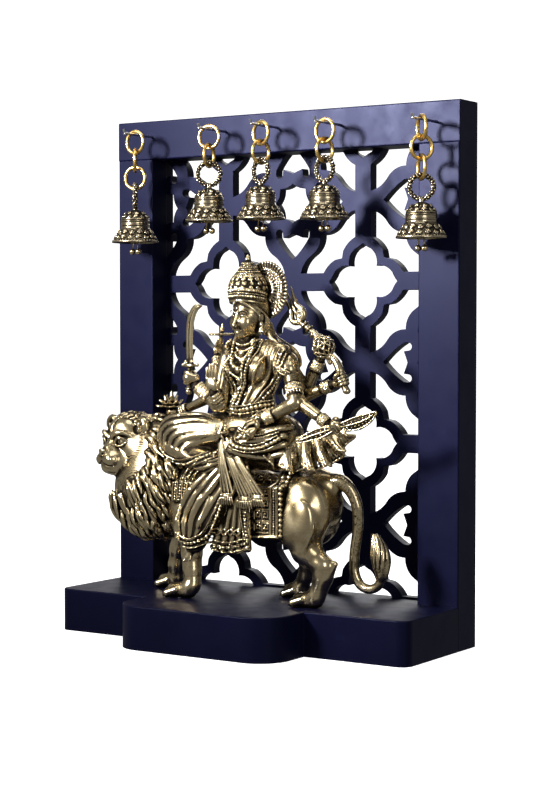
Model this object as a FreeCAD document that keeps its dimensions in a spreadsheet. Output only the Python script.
"""Deity statue on a plinth, in front of a pierced lattice frame hung with five bells.

Origin: bottom centre of the whole object.  +Z up, front towards -Y.  Millimetres.
"""
import FreeCAD, Part
import math
import os

import Sketcher
from FreeCAD import Placement, Rotation, Vector

doc = FreeCAD.newDocument("DeityStatue")

# ---------------------------------------------------------------- driving dimensions
SIZES = [
    ("frame_width", 352.0), ("frame_height", 457.0), ("frame_depth", 32.0),
    ("frame_front", 53.5), ("stile_width", 38.5), ("rail_height", 35.0),
    ("edge_round", 1.2), ("plinth_height", 37.0), ("plinth_step_depth", 88.0),
    ("plinth_nose_depth", 51.0), ("plinth_nose_width", 161.0), ("plinth_corner", 27.0),
    ("plinth_step_corner", 10.0),
    ("panel_thickness", 10.0), ("panel_lap", 24.5), ("panel_foot_lap", 12.0), ("panel_gap", 0.3),
    ("cell_width", 143.0), ("cell_height", 139.0), ("lattice_bar", 15.6), ("ring_row_top", 448.0),
    ("screw_radius", 1.6), ("screw_head_radius", 3.2), ("screw_head_height", 1.8),
    ("hook_radius", 1.1), ("hook_reach", 40.0), ("hook_bury", 14.0), ("chain_reach", 25.0),
    ("ring_radius", 9.7), ("ring_wire", 1.6), ("link_play", 0.15),
    ("bell_radius", 21.0), ("bell_height", 30.0), ("bell_wall", 1.6),
    ("loop_radius", 10.0), ("loop_wire", 1.7), ("loop_rise", 42.0),
    ("eye_bar_radius", 0.9), ("eye_bar_rise", 25.5), ("clapper_wire", 0.55),
    ("clapper_ball", 2.8), ("clapper_spread", 3.15), ("clapper_drop", 7.8),
    ("figure_scale", 1.0), ("cloth_thickness", 2.4), ("blade_thickness", 3.0),
]
dims = doc.addObject("Spreadsheet::Sheet", "Dims")
for row, (alias, value) in enumerate(SIZES, start=1):
    dims.set("A%d" % row, alias)
    dims.set("B%d" % row, str(value))
    dims.setAlias("B%d" % row, alias)
doc.recompute()

NODES = []


def size(alias):
    """A driving dimension as a number."""
    return float(getattr(dims, alias))


def bind(obj, expressions):
    """Tie properties of an object to the sheet."""
    for path, expression in expressions.items():
        obj.setExpression(path, expression)


def node(obj, label):
    """Name a finished sub-part, which is written to a file of that name."""
    obj.Label = label
    NODES.append(obj)
    return obj


def box(name, length, width, height, x, y, z):
    """A block whose sizes and lowest corner are expressions."""
    block = doc.addObject("Part::Box", name)
    bind(block, {"Length": length, "Width": width, "Height": height,
                 "Placement.Base.x": x, "Placement.Base.y": y, "Placement.Base.z": z})
    return block


def cut(name, base, tool):
    piece = doc.addObject("Part::Cut", name)
    piece.Base = base
    piece.Tool = tool
    return piece


def fuse(name, members):
    """One solid from members, some of which are lists of objects themselves."""
    piece = doc.addObject("Part::MultiFuse", name)
    flat = []
    for member in members:
        flat.extend(member if isinstance(member, list) else [member])
    piece.Shapes = flat
    return piece


def compound(name, members):
    group = doc.addObject("Part::Compound", name)
    group.Links = list(members)
    return group


def round_edges(name, base, radius, chosen):
    """Fillet the edges of base for which chosen(edge) is true."""
    doc.recompute()
    piece = doc.addObject("Part::Fillet", name)
    piece.Base = base
    piece.Edges = [(index, radius, radius)
                   for index, edge in enumerate(base.Shape.Edges, start=1) if chosen(edge)]
    return piece


def cylinder(name, radius, height, base, direction):
    """A round bar from base along direction; radius and height are expressions."""
    bar = doc.addObject("Part::Cylinder", name)
    bar.Placement = Placement(Vector(*base), Rotation(Vector(0, 0, 1), Vector(*direction)))
    bind(bar, {"Radius": radius, "Height": height})
    return bar


def lathe(name, outline):
    """A turned body: outline is a closed list of (radius, height) expressions."""
    body = doc.addObject("PartDesign::Body", name)
    sketch = body.newObject("Sketcher::SketchObject", name + "_outline")
    plane = next(f for f in body.Origin.OriginFeatures if f.Role == "XZ_Plane")
    sketch.AttachmentSupport = [(plane, "")]
    sketch.MapMode = "FlatFace"
    points = [Vector(number(r), number(z), 0) for r, z in outline]
    for index, start in enumerate(points):
        end = points[(index + 1) % len(points)]
        sketch.addGeometry(Part.LineSegment(start, end), False)
    for index, (radius, height) in enumerate(outline):
        follower = (index + 1) % len(outline)
        sketch.addConstraint(Sketcher.Constraint("Coincident", index, 2, follower, 1))
        for kind, expression in (("DistanceX", radius), ("DistanceY", height)):
            value = points[index].x if kind == "DistanceX" else points[index].y
            place = sketch.addConstraint(Sketcher.Constraint(kind, -1, 1, index, 1, value))
            sketch.setExpression("Constraints[%d]" % place, expression)
    turned = body.newObject("PartDesign::Revolution", name + "_turned")
    turned.Profile = sketch
    turned.ReferenceAxis = (sketch, ["V_Axis"])
    turned.Angle = 360
    body.Tip = turned
    return body


def number(expression):
    """The value of an expression made of sheet aliases and arithmetic."""
    return float(FreeCAD.Units.Quantity(str(dims.evalExpression(expression))).Value)


# ---------------------------------------------------------------- frame and lattice panel
def make_frame():
    """Top rail over two stiles, a bottom rail between them, all rebated at the back."""
    front = "Dims.frame_front"
    back = "Dims.frame_front + Dims.frame_depth"
    top = "Dims.frame_height - Dims.rail_height"
    half = "Dims.frame_width / 2"
    rebate_y = back + " - Dims.panel_thickness"
    rebate_x = "-%s + Dims.stile_width - Dims.panel_lap" % half
    rebate = box("rebate", "Dims.frame_width - 2 * Dims.stile_width + 2 * Dims.panel_lap",
                 "Dims.panel_thickness", top + " + Dims.panel_lap - Dims.plinth_height"
                 " + Dims.panel_foot_lap", rebate_x, rebate_y,
                 "Dims.plinth_height - Dims.panel_foot_lap")
    members = {
        "frame_top_rail": box("top_blank", "Dims.frame_width", "Dims.frame_depth",
                              "Dims.rail_height", "-" + half, front, top),
        "frame_left_stile": box("left_blank", "Dims.stile_width", "Dims.frame_depth", top,
                                "-" + half, front, "0"),
        "frame_right_stile": box("right_blank", "Dims.stile_width", "Dims.frame_depth", top,
                                 half + " - Dims.stile_width", front, "0"),
        "frame_bottom_rail": box("bottom_blank", "Dims.frame_width - 2 * Dims.stile_width",
                                 "Dims.frame_depth", "Dims.plinth_height",
                                 "-%s + Dims.stile_width" % half, front, "0"),
    }
    front_y = size("frame_front")
    made = {}
    for label, blank in members.items():
        rounded = blank
        if label != "frame_bottom_rail":
            rounded = round_edges(label + "_rounded", blank, size("edge_round"),
                                  lambda edge: on_front_long_edge(edge, front_y))
        made[label] = cut(label + "_rebated", rounded, rebate)
    return made


def on_front_long_edge(edge, front_y):
    """True for a member's two long edges on the frame's front face."""
    middle = edge.CenterOfMass
    return abs(middle.y - front_y) < 0.01 and edge.Length > 100


def arc(start, middle, end):
    return Part.Arc(Vector(start[0], 0, start[1]), Vector(middle[0], 0, middle[1]),
                    Vector(end[0], 0, end[1])).toShape()


def line(start, end):
    return Part.LineSegment(Vector(start[0], 0, start[1]), Vector(end[0], 0, end[1])).toShape()


def four_fold(quarter, stretch):
    """Repeat one quarter's spans (lists of two or three points) round the centre."""
    edges = []
    for turn in range(4):
        angle = math.radians(90 * turn)
        spans = [[(stretch * (x * math.cos(angle) - z * math.sin(angle)),
                   x * math.sin(angle) + z * math.cos(angle)) for x, z in span]
                 for span in quarter]
        for span in spans:
            edges.append(arc(*span) if len(span) == 3 else line(*span))
    return Part.Face(Part.Wire(Part.__sortEdges__(edges)))


def quarter_of(half_lobe):
    """Spans from the +X axis to the diagonal, then their mirror up to the +Z axis."""
    mirrored = [[(z, x) for x, z in reversed(span)] for span in reversed(half_lobe)]
    return half_lobe + mirrored


def prism(face, x, z, thickness):
    solid = face.extrude(Vector(0, thickness, 0))
    solid.translate(Vector(x, 0, z))
    return solid


def heart_face(stretch, turn):
    """Heart opening that points away from a flower's centre, with a crown tab at its head."""
    tip, flank, shoulder = (0, 49.5), (9.0, 40.5), (16.6, 29.8)
    lobe_outer, lobe_top, lobe_inner = (16.9, 26.0), (13.6, 22.6), (10.2, 26.0)
    tab_side, tab_hollow, tab_point = (9.6, 30.2), (4.5, 28.2), (0, 26.6)
    half = [[tip, flank, shoulder], [shoulder, lobe_outer], [lobe_outer, lobe_top, lobe_inner],
            [lobe_inner, tab_side], [tab_side, tab_hollow, tab_point]]
    other = [[(-x, z) for x, z in reversed(span)] for span in reversed(half)]
    angle = math.radians(90 * turn)
    edges = []
    for span in half + other:
        turned = [(stretch * (x * math.cos(angle) - z * math.sin(angle)),
                   x * math.sin(angle) + z * math.cos(angle)) for x, z in span]
        edges.append(arc(*turned) if len(turned) == 3 else line(*turned))
    return Part.Face(Part.Wire(Part.__sortEdges__(edges)))


def make_lattice():
    """Pierced panel: crossing bars, four-lobed rings on the crossings, flowers between."""
    thick = size("panel_thickness")
    bar = size("lattice_bar")
    stretch = size("cell_width") / size("cell_height")
    left = -size("frame_width") / 2 + size("stile_width")
    right = -left
    low = size("plinth_height")
    high = size("frame_height") - size("rail_height")
    ring_half = [[(38.5, bar / 2), (33.0, 15.0), (27.0, 19.2)], [(27.0, 19.2), (20.4, 20.4)]]
    ring_outer = four_fold([[(38.5, 0), (38.5, bar / 2)]] + quarter_of(ring_half)
                           + [[(bar / 2, 38.5), (0, 38.5)]], stretch)
    lobe_half = [[(33.0, 0), (30.2, 3.6), (28.2, 7.6)], [(28.2, 7.6), (22.6, 12.2), (13.2, 13.2)]]
    ring_hole = four_fold(quarter_of(lobe_half), stretch)
    petal_half = [[(66.0, 0), (66.0, bar / 2)], [(66.0, bar / 2), (54.5, 11.0), (46.0, 19.0)],
                  [(46.0, 19.0), (38.0, 26.3), (28.4, 28.4)]]
    flower_outer = four_fold(quarter_of(petal_half), stretch)
    star_half = [[(17.2, 0), (14.0, 5.6), (12.8, 12.8)]]
    flower_star = four_fold(quarter_of(star_half), stretch)
    hearts = [heart_face(stretch, turn) for turn in range(4)]

    window = Part.makeBox(right - left, thick, high - low, Vector(left, 0, low))
    lap, foot, gap = size("panel_lap"), size("panel_foot_lap"), size("panel_gap")
    border = Part.makeBox(right - left + 2 * (lap - gap), thick, high + lap - low + foot - 2 * gap,
                          Vector(left - lap + gap, 0, low - foot + gap))
    columns = [-size("cell_width") / 2, size("cell_width") / 2]
    rows = [size("ring_row_top") - size("cell_height") * step for step in range(4)]
    solids, holes = [], []
    for x in columns:
        solids.append(Part.makeBox(bar, thick, high - low, Vector(x - bar / 2, 0, low)))
        for z in rows:
            solids.append(prism(ring_outer, x, z, thick))
            holes.append(prism(ring_hole, x, z, thick))
    for z in rows:
        solids.append(Part.makeBox(right - left, thick, bar, Vector(left, 0, z - bar / 2)))
    for x in (-size("cell_width"), 0.0, size("cell_width")):
        for z in [row - size("cell_height") / 2 for row in rows[:-1]]:
            solids.append(prism(flower_outer, x, z, thick))
            for opening in [flower_star] + hearts:
                holes.append(prism(opening, x, z, thick))
    openwork = solids[0].multiFuse(solids[1:]).cut(holes).common(window)
    panel = doc.addObject("Part::Feature", "lattice_blank")
    panel.Shape = border.cut(window).fuse(openwork).removeSplitter()
    panel.Placement = Placement(
        Vector(0, size("frame_front") + size("frame_depth") - thick, 0), Rotation())
    return panel


# ---------------------------------------------------------------- plinth
def make_plinth():
    """Stepped plinth: a full-width slab with a narrower nose, convex corners rounded."""
    body = doc.addObject("PartDesign::Body", "plinth_body")
    sketch = body.newObject("Sketcher::SketchObject", "plinth_plan")
    plane = next(f for f in body.Origin.OriginFeatures if f.Role == "XY_Plane")
    sketch.AttachmentSupport = [(plane, "")]
    sketch.MapMode = "FlatFace"
    back = "Dims.frame_front"
    step = "Dims.frame_front - Dims.plinth_step_depth"
    nose = step + " - Dims.plinth_nose_depth"
    half = "Dims.frame_width / 2"
    nose_half = "Dims.plinth_nose_width / 2"
    corners = [("-" + half, back), ("-" + half, step), ("-" + nose_half, step),
               ("-" + nose_half, nose), (nose_half, nose), (nose_half, step), (half, step),
               (half, back)]
    points = [Vector(number(x), number(y), 0) for x, y in corners]
    for index, start in enumerate(points):
        sketch.addGeometry(Part.LineSegment(start, points[(index + 1) % len(points)]), False)
    for index, (x, y) in enumerate(corners):
        follower = (index + 1) % len(corners)
        sketch.addConstraint(Sketcher.Constraint("Coincident", index, 2, follower, 1))
        for kind, expression, value in (("DistanceX", x, points[index].x),
                                        ("DistanceY", y, points[index].y)):
            place = sketch.addConstraint(Sketcher.Constraint(kind, -1, 1, index, 1, value))
            sketch.setExpression("Constraints[%d]" % place, expression)
    pad = body.newObject("PartDesign::Pad", "plinth_pad")
    pad.Profile = sketch
    pad.setExpression("Length", "Dims.plinth_height")
    body.Tip = pad
    doc.recompute()
    rounded = pad
    for name, x, y, radius in (("plinth_nose_corners", nose_half, nose, "Dims.plinth_corner"),
                               ("plinth_step_corners", half, step, "Dims.plinth_step_corner")):
        places = {(sign * number(x), number(y)) for sign in (-1, 1)}
        upright = ["Edge%d" % index for index, edge in enumerate(rounded.Shape.Edges, start=1)
                   if (round(edge.CenterOfMass.x, 3), round(edge.CenterOfMass.y, 3)) in places
                   and abs(edge.Length - size("plinth_height")) < 0.01]
        corner = body.newObject("PartDesign::Fillet", name)
        corner.Base = (rounded, upright)
        corner.setExpression("Radius", radius)
        body.Tip = corner
        doc.recompute()
        rounded = corner
    top_edges = ["Edge%d" % index for index, edge in enumerate(rounded.Shape.Edges, start=1)
                 if edge.BoundBox.ZMin > size("plinth_height") - 0.01
                 and edge.CenterOfMass.y < size("frame_front") - 0.01]
    soften = body.newObject("PartDesign::Fillet", "plinth_top_edge")
    soften.Base = (rounded, top_edges)
    soften.setExpression("Radius", "Dims.edge_round")
    body.Tip = soften
    return body


# ---------------------------------------------------------------- hidden screws
PAWS = {"near_fore": (-52.0, -24.0), "far_fore": (-96.0, 22.0),
        "near_hind": (70.0, -12.0), "far_hind": (27.0, 30.0)}


def screw(name, length, head_centre, direction):
    """Countersunk screw: a cone head flush with the surface and a plain shank."""
    head = doc.addObject("Part::Cone", name + "_head")
    turn = Rotation(Vector(0, 0, 1), Vector(*direction))
    head.Placement = Placement(Vector(*head_centre), turn)
    bind(head, {"Radius1": "Dims.screw_head_radius", "Radius2": "Dims.screw_radius",
                "Height": "Dims.screw_head_height"})
    shank = cylinder(name + "_shank", "Dims.screw_radius", str(length), head_centre, direction)
    return fuse(name, [head, shank])


def make_screws():
    """Groups of screws: lattice to frame, frame to plinth, plinth to the lion's paws."""
    back = size("frame_front") + size("frame_depth")
    column = size("frame_width") / 2 - size("stile_width") + size("panel_lap") / 2
    groups = {"jali_screws": [], "plinth_screws": [], "statue_screws": []}
    for side in (-1, 1):
        for place, z in enumerate((60.0, 178.0, 296.0, 410.0)):
            name = "jali_screw_%d_%d" % (side + 1, place)
            groups["jali_screws"].append(screw(name, 25.0, (side * column, back, z), (0, -1, 0)))
    for place, x in enumerate((-110.0, -40.0, 40.0, 110.0)):
        groups["plinth_screws"].append(
            screw("plinth_screw_%d" % place, 52.0, (x, back, 12.0), (0, -1, 0)))
    for place, (x, y) in PAWS.items():
        groups["statue_screws"].append(screw("paw_screw_" + place, 45.0, (x, y, 0), (0, 0, 1)))
    return {label: compound(label + "_group", screws) for label, screws in groups.items()}


# ---------------------------------------------------------------- bells, rings and hooks
# Each chain: hook position across and up, the turn of each ring about the vertical, and the
# turn of the bell's own loop, in degrees from facing the front.
CHAINS = [
    (-138.4, 442.6, (-5.0, -55.0, 11.0), -53.0),
    (-57.3, 443.0, (8.0, -81.0), 35.0),
    (-3.0, 443.5, (-16.0, 77.0), -18.0),
    (61.5, 442.0, (-8.0, 78.0), -14.0),
    (154.0, 439.4, (-40.0, 57.0, -44.0), 28.0),
]


def torus(name, radius, wire, centre, yaw):
    """A wire ring standing upright, its face turned yaw degrees from the front."""
    ring = doc.addObject("Part::Torus", name)
    upright = Rotation(Vector(0, 0, 1), yaw).multiply(Rotation(Vector(1, 0, 0), -90))
    ring.Placement = Placement(Vector(*centre), upright)
    bind(ring, {"Radius1": radius, "Radius2": wire})
    return ring


def make_hooks():
    """Steel pins driven into the top rail, with a small raised tip that keeps the ring on."""
    pins = []
    for index, (x, z, _turns, _loop) in enumerate(CHAINS, start=1):
        root = size("frame_front") + size("hook_bury")
        tip = size("frame_front") - size("hook_reach")
        pin = cylinder("hook_pin_%d" % index, "Dims.hook_radius",
                       "Dims.hook_reach + Dims.hook_bury", (x, root, z), (0, -1, 0))
        rise = cylinder("hook_tip_%d" % index, "Dims.hook_radius * 0.9", "Dims.hook_radius * 4",
                        (x, tip + 0.4, z - 0.3), (0, -0.55, 0.83))
        knee = doc.addObject("Part::Sphere", "hook_knee_%d" % index)
        knee.Placement = Placement(Vector(x, tip, z), Rotation())
        bind(knee, {"Radius": "Dims.hook_radius * 1.05"})
        pins.append(fuse("hook_%d" % index, [pin, rise, knee]))
    return compound("hooks_group", pins)


def bell_outline():
    """Section of the bell as (radius, height above the rim) pairs, outside then inside."""
    outside = [(1.0, 0.0), (1.0, 0.03), (0.95, 0.08), (0.84, 0.2), (0.74, 0.31), (0.655, 0.42),
               (0.61, 0.47), (0.635, 0.53), (0.61, 0.59), (0.635, 0.65), (0.6, 0.72),
               (0.52, 0.8), (0.4, 0.9), (0.22, 0.97), (0.13, 1.0), (0.13, 1.07), (0.0, 1.07)]
    inside = [(0.0, 0.9), (0.22, 0.89), (0.38, 0.82), (0.5, 0.7), (0.53, 0.55), (0.57, 0.42),
              (0.66, 0.3), (0.77, 0.18), (0.87, 0.08), (0.93, 0.0)]
    return [("Dims.bell_radius * %g" % r, "Dims.bell_height * %g" % z)
            for r, z in outside + inside]


def make_bell(index, centre, loop_yaw):
    """Bell with its hanging loop and the cross bar inside that holds the clapper."""
    x, y, loop_z = centre
    rim_z = loop_z - size("loop_rise")
    shell = lathe("bell_shell_%d" % index, bell_outline())
    shell.Placement = Placement(Vector(x, y, rim_z), Rotation())
    loop = torus("bell_loop_%d" % index, "Dims.loop_radius", "Dims.loop_wire", centre, loop_yaw)
    reach = 0.54 * size("bell_radius")
    bar = cylinder("bell_bar_%d" % index, "Dims.eye_bar_radius", "Dims.bell_radius * 1.08",
                   (x, y + reach, rim_z + size("eye_bar_rise") - 8.0), (0, -1, 0))
    return fuse("bell_%d_fused" % index, [shell, loop, bar])


def make_clapper(index, x, y, rim_z):
    """Clapper: an eye on the cross bar, two spreading wires and a ball on each."""
    eye_z = rim_z + size("eye_bar_rise") - 8.0
    eye_radius = size("eye_bar_radius") + size("clapper_wire") + size("link_play")
    eye = torus("clapper_eye_%d" % index,
                "Dims.eye_bar_radius + Dims.clapper_wire + Dims.link_play",
                "Dims.clapper_wire", (x, y, eye_z), 0)
    members = [eye]
    for side in (-1, 1):
        start = Vector(x + side * 0.2, y, eye_z - eye_radius)
        end = Vector(x + side * size("clapper_spread"), y, rim_z - size("clapper_drop"))
        span = end - start
        name = "%d_%d" % (index, side + 1)
        members.append(cylinder("clapper_wire_" + name, "Dims.clapper_wire",
                                str(span.Length), tuple(start), tuple(span)))
        ball = doc.addObject("Part::Sphere", "clapper_ball_" + name)
        ball.Placement = Placement(end, Rotation())
        bind(ball, {"Radius": "Dims.clapper_ball"})
        members.append(ball)
    return fuse("clapper_%d_fused" % index, members)


def make_chains():
    """Every ring, bell and clapper, each hanging from the wire above with a little play."""
    made = {}
    y = size("frame_front") - size("chain_reach")
    radius, wire, play = size("ring_radius"), size("ring_wire"), size("link_play")
    for index, (x, hook_z, turns, loop_yaw) in enumerate(CHAINS, start=1):
        z = hook_z + size("hook_radius") + play / 1.5 + wire - radius
        for link, yaw in enumerate(turns, start=1):
            made["ring_%d_%d" % (index, link)] = torus(
                "ring_%d_%d_wire" % (index, link), "Dims.ring_radius", "Dims.ring_wire",
                (x, y, z), yaw)
            z -= 2 * radius - 2 * wire - play
        z += radius - size("loop_radius") + size("loop_wire") - wire
        made["bell_%d" % index] = make_bell(index, (x, y, z), loop_yaw)
        made["clapper_%d" % index] = make_clapper(index, x, y, z - size("loop_rise"))
    return made


# ---------------------------------------------------------------- cast figure
# Points of the figure are millimetres from the plinth's top centre, before figure_scale.
def figure_place(obj, point, turn=Rotation()):
    """Put an object on the plinth, scaled with the figure."""
    obj.Placement = Placement(Vector(*point), turn)
    bind(obj, {"Placement.Base.x": "Dims.figure_scale * %g" % point[0],
               "Placement.Base.y": "Dims.figure_scale * %g" % point[1],
               "Placement.Base.z": "Dims.plinth_height + Dims.figure_scale * %g" % point[2]})


def blob(name, centre, radii, turn=Rotation()):
    """An ellipsoid as two halves, with its three half sizes across, back and up."""
    halves = []
    for side in (0, 180):
        half = doc.addObject("Part::Ellipsoid", "%s_%d" % (name, side))
        half.Angle1, half.Angle2, half.Angle3 = -90, 90, 180
        figure_place(half, centre, turn.multiply(Rotation(Vector(0, 0, 1), side)))
        bind(half, {"Radius2": "Dims.figure_scale * %g" % radii[0],
                    "Radius3": "Dims.figure_scale * %g" % radii[1],
                    "Radius1": "Dims.figure_scale * %g" % radii[2]})
        halves.append(half)
    return halves


SEAM_TURN = Rotation(Vector(1, 2, 3), 47)      # keeps the seams of joined surfaces apart


def limb(name, joints, snug=0.9):
    """A run of tapered bars between (point, radius) joints, with a ball at each joint."""
    members = []
    for index, (point, radius) in enumerate(joints):
        ball = doc.addObject("Part::Sphere", "%s_ball_%d" % (name, index))
        figure_place(ball, point, SEAM_TURN)
        bind(ball, {"Radius": "Dims.figure_scale * %g" % radius})
        members.append(ball)
    for index, ((start, r_start), (end, r_end)) in enumerate(zip(joints, joints[1:])):
        span = Vector(*end) - Vector(*start)
        bar = doc.addObject("Part::Cone", "%s_bar_%d" % (name, index))
        figure_place(bar, start, Rotation(Vector(0, 0, 1), span).multiply(
            Rotation(Vector(0, 0, 1), 71)))
        end_radius = r_end if abs(r_end - r_start) > 0.05 else r_end + 0.06
        bind(bar, {"Radius1": "Dims.figure_scale * %g" % (r_start * snug),
                   "Radius2": "Dims.figure_scale * %g" % (end_radius * snug),
                   "Height": "Dims.figure_scale * %g" % span.Length})
        members.append(bar)
    return members


def plate(name, outline, thickness, place, turn):
    """A flat piece cut from a closed outline of (across, up) points, thick both ways."""
    wire = Part.makePolygon([Vector(x, 0, z) for x, z in outline + outline[:1]])
    piece = doc.addObject("Part::Feature", name)
    piece.Shape = Part.Face(wire).extrude(Vector(0, thickness, 0))
    scale = size("figure_scale")
    origin = Vector(*place) * scale + Vector(0, 0, size("plinth_height"))
    piece.Placement = Placement(origin, turn)
    return piece


def make_lion():
    """The standing lion: trunk and legs, head with mane, tail and saddle cloth."""
    trunk = [blob("lion_chest", (-52, 3, 80), (33, 25, 33)),
             blob("lion_middle", (-5, 5, 83), (52, 23, 29)),
             blob("lion_rump", (62, 5, 84), (31, 26, 30))]
    fore_near = limb("fore_near", [((-45, -14, 66), 12), ((-43, -17, 36), 7.8),
                                   ((-41, -19, 14), 7), ((-42, -22, 7.2), 7.4)])
    fore_far = limb("fore_far", [((-76, 16, 66), 12), ((-86, 20, 34), 7.4), ((-88, 21, 14), 6.6),
                                 ((-90, 22, 7), 7.2)])
    hind_near = limb("hind_near", [((68, -10, 74), 18), ((66, -13, 52), 13), ((86, -14, 34), 7.6),
                                   ((80, -13, 16), 6.6), ((78, -12, 7.4), 7.4)])
    hind_far = limb("hind_far", [((52, 18, 70), 16), ((40, 21, 48), 11), ((46, 25, 30), 6.8),
                                 ((40, 28, 14), 6), ((38, 30, 7), 7)])
    paws = [blob("paw_fore_near", (-54, -24, 6.5), (19, 10.5, 7.5)),
            blob("paw_fore_far", (-97, 22, 6.5), (17, 10, 7.5)),
            blob("paw_hind_near", (67, -12, 6.5), (20, 10.5, 7.5)),
            blob("paw_hind_far", (29, 30, 6.5), (16, 10, 7.5))]
    floor = box("paw_floor", "Dims.frame_width", "Dims.plinth_step_depth * 2", "20",
                "-Dims.frame_width / 2", "-Dims.plinth_step_depth", "Dims.plinth_height - 20")
    body = cut("lion_body_level",
               fuse("lion_body_cast", trunk + fore_near + fore_far + hind_near + hind_far + paws),
               floor)
    head = fuse("lion_head_cast", [
        blob("mane_ball", (-108, -5, 116), (32, 29, 40)),
        blob("mane_chest", (-96, 2, 84), (28, 25, 32), Rotation(Vector(0, 1, 0), -20)),
        blob("lion_muzzle", (-131, -12, 110), (14, 11, 12)),
        blob("lion_brow", (-122, -10, 128), (16, 17, 18))])
    tail = fuse("lion_tail_cast", limb("tail", [
        ((84, 5, 104), 7.5), ((95, 5, 103), 5.6), ((103, 6, 94), 4.8), ((107, 7, 80), 4.4),
        ((105, 8, 60), 4.2), ((103, 8, 40), 4.1), ((104, 8, 27), 4), ((111, 8, 17.5), 4),
        ((122, 8, 17.5), 4), ((129, 8, 25), 4.2), ((129.5, 8, 31), 6.6), ((129, 8, 42), 8.4),
        ((125, 8, 56), 4.6), ((123, 8, 62), 1.2)]))
    cloth_outer = [blob("cloth_outer_mid", (-5, 5, 83), (54.6, 25.6, 31.6)),
                   blob("cloth_outer_rear", (58, 5, 84), (33.6, 28.6, 32.6)),
                   blob("cloth_outer_front", (-46, 3, 80), (34, 27.6, 35.6))]
    span = box("cloth_span", "Dims.figure_scale * 104", "Dims.figure_scale * 80",
               "Dims.figure_scale * 64", "-Dims.figure_scale * 50", "-Dims.figure_scale * 35",
               "Dims.plinth_height + Dims.figure_scale * 56")
    cloth = doc.addObject("Part::MultiCommon", "saddle_cloth_trimmed")
    cloth.Shapes = [fuse("saddle_cloth_blank", cloth_outer), span]
    cloth_shell = cut("saddle_cloth_shell", cloth, fuse("saddle_under", trunk))
    return {"lion_body": body, "lion_head": head, "lion_tail": tail, "saddle_cloth": cloth_shell}


def make_goddess():
    """The seated figure: skirt and legs, sash, scarf, torso, head, crown and halo."""
    made = {}
    folded = limb("folded_leg", [((20, -4, 128), 21), ((-25, -8, 134), 20), ((-56, -12, 136), 19),
                                 ((-38, -28, 122), 10), ((-12, -33, 117), 6.5)])
    hanging = limb("hanging_leg", [((28, -10, 128), 18), ((10, -30, 108), 13),
                                   ((-14, -33, 82), 11), ((-36, -35, 62), 7), ((-45, -38, 48), 4)])
    drape = [blob("skirt_drape", (2, -32, 74), (29, 8, 30)),
             blob("skirt_lap", (4, -18, 128), (40, 20, 20))]
    made["goddess_skirt"] = fuse("skirt_cast", folded + hanging + drape)
    made["waist_sash"] = fuse("sash_cast", [blob("sash_knot", (2.5, -39, 143), (7, 5, 6.5))]
                              + limb("sash_left", [((0.5, -41, 137), 2.8), ((9, -46, 92), 4.4)])
                              + limb("sash_right", [((7, -41, 137), 3.0), ((35, -44, 92), 4.5)]))
    made["scarf_flare"] = fuse("scarf_cast", [
        blob("scarf_swell", (60, 1, 131), (33, 14, 12), Rotation(Vector(0, 1, 0), -8)),
        blob("scarf_curl", (92, -5, 137), (13, 8, 8.5)), blob("scarf_hip", (38, -5, 133), (15, 17, 19))])
    made["goddess_torso"] = fuse("torso_cast", [
        blob("hips", (10, -4, 152), (27, 19, 18)), blob("waist", (9, -3, 172), (20, 14, 18)),
        blob("chest", (9, -4, 193), (25, 16, 22), Rotation(Vector(0, 0, 1), -12)),
        blob("shoulders", (12, 0, 207), (33, 11, 10), Rotation(Vector(0, 0, 1), -12))] + limb(
        "neck", [((8, -2, 208), 9), ((6, -3, 226), 7.2)]))
    made["goddess_head"] = fuse("head_cast", [
        blob("skull", (5, -2, 244), (15.5, 16.5, 20)), blob("jaw", (3, -8, 235), (12, 11, 13)),
        blob("hair_fall", (24, 6, 224), (10, 8, 19), Rotation(Vector(0, 1, 0), -30))])
    made["crown"] = fuse("crown_cast", [
        blob("crown_cap", (3.5, -1, 266), (20.5, 20, 17)), blob("crown_tier", (5, -1, 281), (12, 12, 5)),
        blob("crown_top", (5.5, -1, 287), (5, 5, 4.5)), blob("crown_bud", (5.5, -1, 291), (2.6, 2.6, 3.6))])
    halo = doc.addObject("Part::Cylinder", "halo_disc")
    figure_place(halo, (17, 14, 265), Rotation(Vector(0, 0, 1), -10).multiply(
        Rotation(Vector(1, 0, 0), 90)))
    bind(halo, {"Radius": "Dims.figure_scale * 25.5", "Height": "Dims.figure_scale * 4"})
    made["halo"] = halo
    return made


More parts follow.
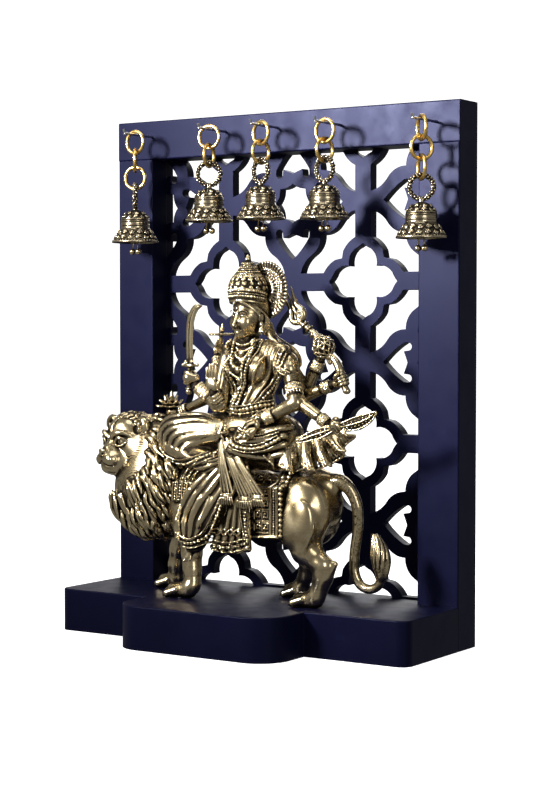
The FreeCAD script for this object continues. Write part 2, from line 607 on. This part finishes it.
def make_arms():
    """Eight arms, four on each side, each cast on its own and brazed to the torso."""
    runs = {
        "arm_sword": [((-14, -4, 204), 6.5), ((-17, -17, 166), 8.5), ((-33, -20, 181), 6.5),
                      ((-43, -21, 189), 6.2)],
        "arm_palm": [((-12, -8, 200), 6), ((-7, -24, 166), 6.2), ((-10, -30, 175), 5),
                     ((-13, -32, 186), 5.2), ((-13, -32, 197), 3.4)],
        "arm_discus": [((-14, 4, 206), 6.2), ((-34, 10, 190), 5.6), ((-39, 13, 208), 4.2),
                       ((-36, 14, 219), 4.4), ((-35.5, 14, 226), 1.8)],
        "arm_lotus": [((-16, 8, 202), 6), ((-44, 14, 172), 5.4), ((-76, 17, 158), 4.4),
                      ((-90, 18, 158), 4.6)],
        "arm_trident": [((40, 4, 203), 6.4), ((54, 11, 178), 6.2), ((66, 13, 202), 4.6),
                        ((68, 14, 217), 4.8)],
        "arm_mace": [((42, 2, 200), 6.2), ((56, 3, 173), 6), ((83, 2, 184), 4.4),
                     ((95, 1, 189), 5.6)],
        "arm_rest": [((44, -3, 203), 8), ((62, -17, 169), 7.6), ((40, -30, 157), 5.4),
                     ((31, -34, 150), 5.6)],
        "arm_bow": [((44, -2, 196), 6), ((64, -12, 171), 6.4), ((92, -16, 154), 4.6),
                    ((102, -19, 151), 5.4)],
    }
    return {label: fuse(label + "_cast", limb(label, joints)) for label, joints in runs.items()}


def make_attributes():
    """What the hands hold: sword, discus, lotus, trident, mace, conch and bow."""
    made = {}
    level = Rotation()
    edge = [(-3.4, 0), (3.4, 0), (3.6, 34), (5.6, 44), (9.5, 50), (13, 51), (9.5, 53.5),
            (3.5, 51), (-2, 44), (-4, 34)]
    blade = plate("sword_blade", edge, size("blade_thickness"), (-42, -22.5, 200), level)
    guard = blob("sword_guard", (-42.4, -21, 199.6), (8, 3.4, 2.2))
    made["sword"] = fuse("sword_cast", [blade, guard] + limb(
        "sword_grip", [((-42.8, -21, 199), 2.6), ((-44, -21, 177), 2.8)]))
    disc = doc.addObject("Part::Cylinder", "discus_plate")
    figure_place(disc, (-34.5, 14, 225.4))
    bind(disc, {"Radius": "Dims.figure_scale * 10.5", "Height": "Dims.figure_scale * 2"})
    made["discus"] = fuse("discus_cast", [disc] + limb(
        "discus_point", [((-34, 14, 227), 2.4), ((-32.2, 14, 236), 0.8)]))
    made["lotus"] = fuse("lotus_cast", [
        blob("lotus_bloom", (-91, 18, 166), (9, 9, 7)), blob("lotus_bud", (-91, 18, 172), (4, 4, 6)),
        blob("lotus_leaves", (-91, 18, 161), (13.5, 12, 3))])
    made["trident"] = fuse("trident_cast", limb(
        "trident_shaft", [((75, 15, 206), 2.2), ((61, 14, 230), 2.6), ((52, 14, 241), 3)]) + limb(
        "trident_mid", [((52, 14, 241), 2.4), ((38, 14, 256), 1.2)]) + limb(
        "trident_low", [((54, 14, 238), 2.2), ((45, 14, 241), 2.2), ((35, 14, 251), 1.2)]) + limb(
        "trident_high", [((54, 14, 241), 2.4), ((60, 14, 248), 2.4), ((50, 14, 256), 2),
                         ((43, 14, 260), 1.2)]))
    made["mace"] = fuse("mace_cast", [blob("mace_ball", (77, 2, 216), (10.5, 10.5, 10.5))] + limb(
        "mace_handle", [((81, 2, 213), 2.6), ((88, 2, 206), 3.4), ((95, 1, 192), 4),
                        ((100, 1, 180), 3.2)]) + limb(
        "mace_spike", [((73, 2, 222), 3.4), ((66, 2, 236), 1.6)]))
    made["conch"] = fuse("conch_cast", [blob("conch_body", (30.5, -41, 144.5), (8.0, 4.4, 4.6))])
    crescent = [(0, 0), (14, 1.2), (30, 6), (42, 9), (54, 11), (62, 15), (71, 24.7), (58, 23),
                (46, 19.5), (32, 15), (16, 8.5)]
    bow_plate = plate("bow_plate", crescent, size("blade_thickness"), (67, -26.5, 139),
                      Rotation(Vector(0, 0, 1), 8))
    made["bow"] = bow_plate
    return made


# ---------------------------------------------------------------- assembly
frame_members = make_frame()
screws = make_screws()
hooks = make_hooks()
lion = make_lion()
lattice = make_lattice()
plinth = make_plinth()

held_by_jali_screws = screws["jali_screws"]
held_by_plinth_screws = screws["plinth_screws"]
held_by_statue_screws = screws["statue_screws"]
for side in ("left", "right"):
    label = "frame_%s_stile" % side
    node(cut(label + "_drilled", frame_members[label], held_by_jali_screws), label)
node(cut("top_rail_drilled", frame_members["frame_top_rail"], hooks), "frame_top_rail")
node(cut("bottom_rail_drilled", frame_members["frame_bottom_rail"], held_by_plinth_screws),
     "frame_bottom_rail")
node(cut("lattice_drilled", lattice, held_by_jali_screws), "jali_panel")
node(cut("plinth_drilled", cut("plinth_drilled_back", plinth, held_by_plinth_screws),
         held_by_statue_screws), "base_plinth")
for label, group in screws.items():
    node(group, label)
node(hooks, "bell_hooks")
for label, piece in make_chains().items():
    node(piece, label)
lion["lion_body"] = cut("lion_body_drilled", lion["lion_body"], held_by_statue_screws)
for figure in (lion, make_goddess(), make_arms(), make_attributes()):
    for label, piece in figure.items():
        node(piece, label)
doc.recompute()

# ---------------------------------------------------------------- checks and export
for item in doc.Objects:
    if "Invalid" in item.State or "Error" in item.State:
        raise RuntimeError("%s failed: %s" % (item.Name, item.State))
    if item.TypeId == "Part::MultiFuse":
        volumes = [member.Shape.Volume for member in item.Shapes]
        if not max(volumes) * 0.999 <= item.Shape.Volume <= sum(volumes) * 1.001:
            raise RuntimeError("%s: %.0f of members %s" % (
                item.Name, item.Shape.Volume, ["%.0f" % volume for volume in volumes]))
os.makedirs("parts", exist_ok=True)
far_away = Vector(-900.0, 7.0, 1100.0)
for piece in NODES:
    if piece.Shape.isNull() or not piece.Shape.isValid():
        raise RuntimeError("%s has no valid shape" % piece.Label)
    if any(solid.isInside(far_away, 1e-6, False) for solid in piece.Shape.Solids):
        raise RuntimeError("%s is inside out" % piece.Label)
    piece.Shape.exportStep("parts/%s.step" % piece.Label)
    print("%-20s solids %d volume %.0f" % (piece.Label, len(piece.Shape.Solids), piece.Shape.Volume))
print("nodes:", len(NODES))
